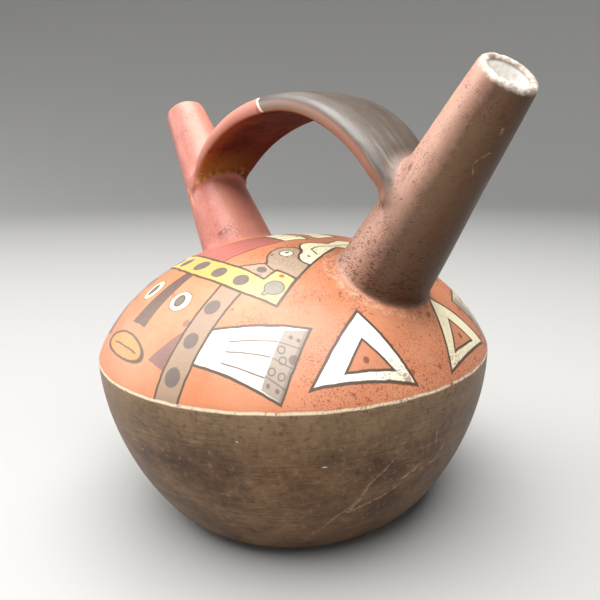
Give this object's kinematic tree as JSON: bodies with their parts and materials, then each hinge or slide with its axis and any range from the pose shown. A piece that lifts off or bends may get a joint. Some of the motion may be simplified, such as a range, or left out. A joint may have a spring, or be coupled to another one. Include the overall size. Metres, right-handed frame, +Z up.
{
  "type": "double spout and bridge bottle",
  "caption": "Hollow fired-clay bottle with a domed, painted shoulder, rounded bowl, and two tapering spouts leaning apart, joined by a flat arched strap.",
  "frame": {"origin": "centre of the flat underside, on the axis of the turned body", "axes": "+Z up along the body's axis, +X towards the brown spout, -Y towards the painted face's side"},
  "size_m": [0.2168, 0.16, 0.1721],
  "materials": {
    "painted_slip": "burnished slip, satin",
    "brown_slip": "burnished slip, satin",
    "red_slip": "burnished slip, satin",
    "grey_slip": "burnished slip, satin"
  },
  "bodies": {
    "root": {"bowl": "brown_slip", "shoulder": "painted_slip", "right_spout": "brown_slip", "left_spout": "red_slip", "strap": "grey_slip"}
  },
  "joints": []
}
